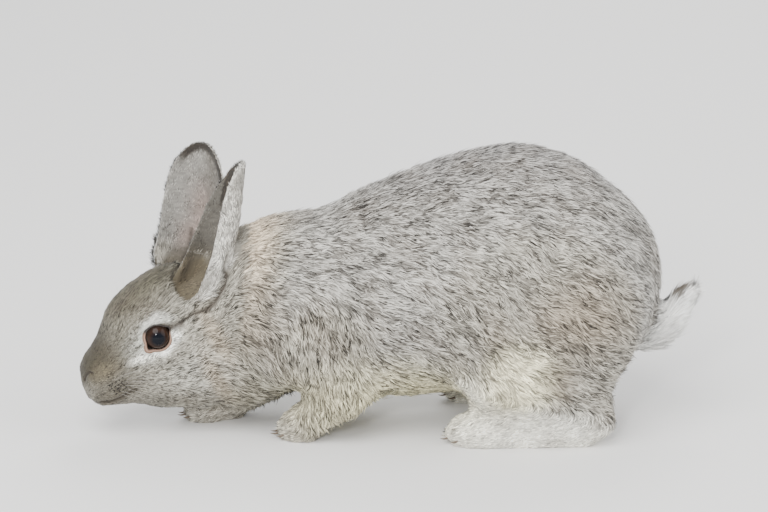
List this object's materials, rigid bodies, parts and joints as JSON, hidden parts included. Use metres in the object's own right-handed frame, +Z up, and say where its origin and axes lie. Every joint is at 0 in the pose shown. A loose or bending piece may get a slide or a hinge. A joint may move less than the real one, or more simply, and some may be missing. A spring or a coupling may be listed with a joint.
{
  "type": "rabbit figure",
  "caption": "Life-size grey domestic rabbit crouched on all fours with its nose down to graze and its ears raised.",
  "frame": {"origin": "on the floor, under the middle of the whole figure", "axes": "-X towards the nose, -Y to the rabbit's left, +Z up"},
  "size_m": [0.4032, 0.151, 0.1895],
  "materials": {
    "coat": "dense short fur, grey with darker tips",
    "face": "very short fur, brownish grey",
    "ear": "very short fur outside, nearly bare skin inside",
    "pale": "soft fur, off-white",
    "eye": "wet gloss"
  },
  "bodies": {
    "root": {"trunk": "coat", "neck": "coat", "head": "face", "ear_left": "ear", "ear_right": "ear", "eye_left": "eye", "eye_right": "eye", "foreleg_left": "coat", "foreleg_right": "coat", "forepaw_left": "coat", "forepaw_right": "coat", "thigh_left": "coat", "thigh_right": "coat", "hindfoot_left": "pale", "hindfoot_right": "pale", "tail": "pale"}
  },
  "joints": []
}
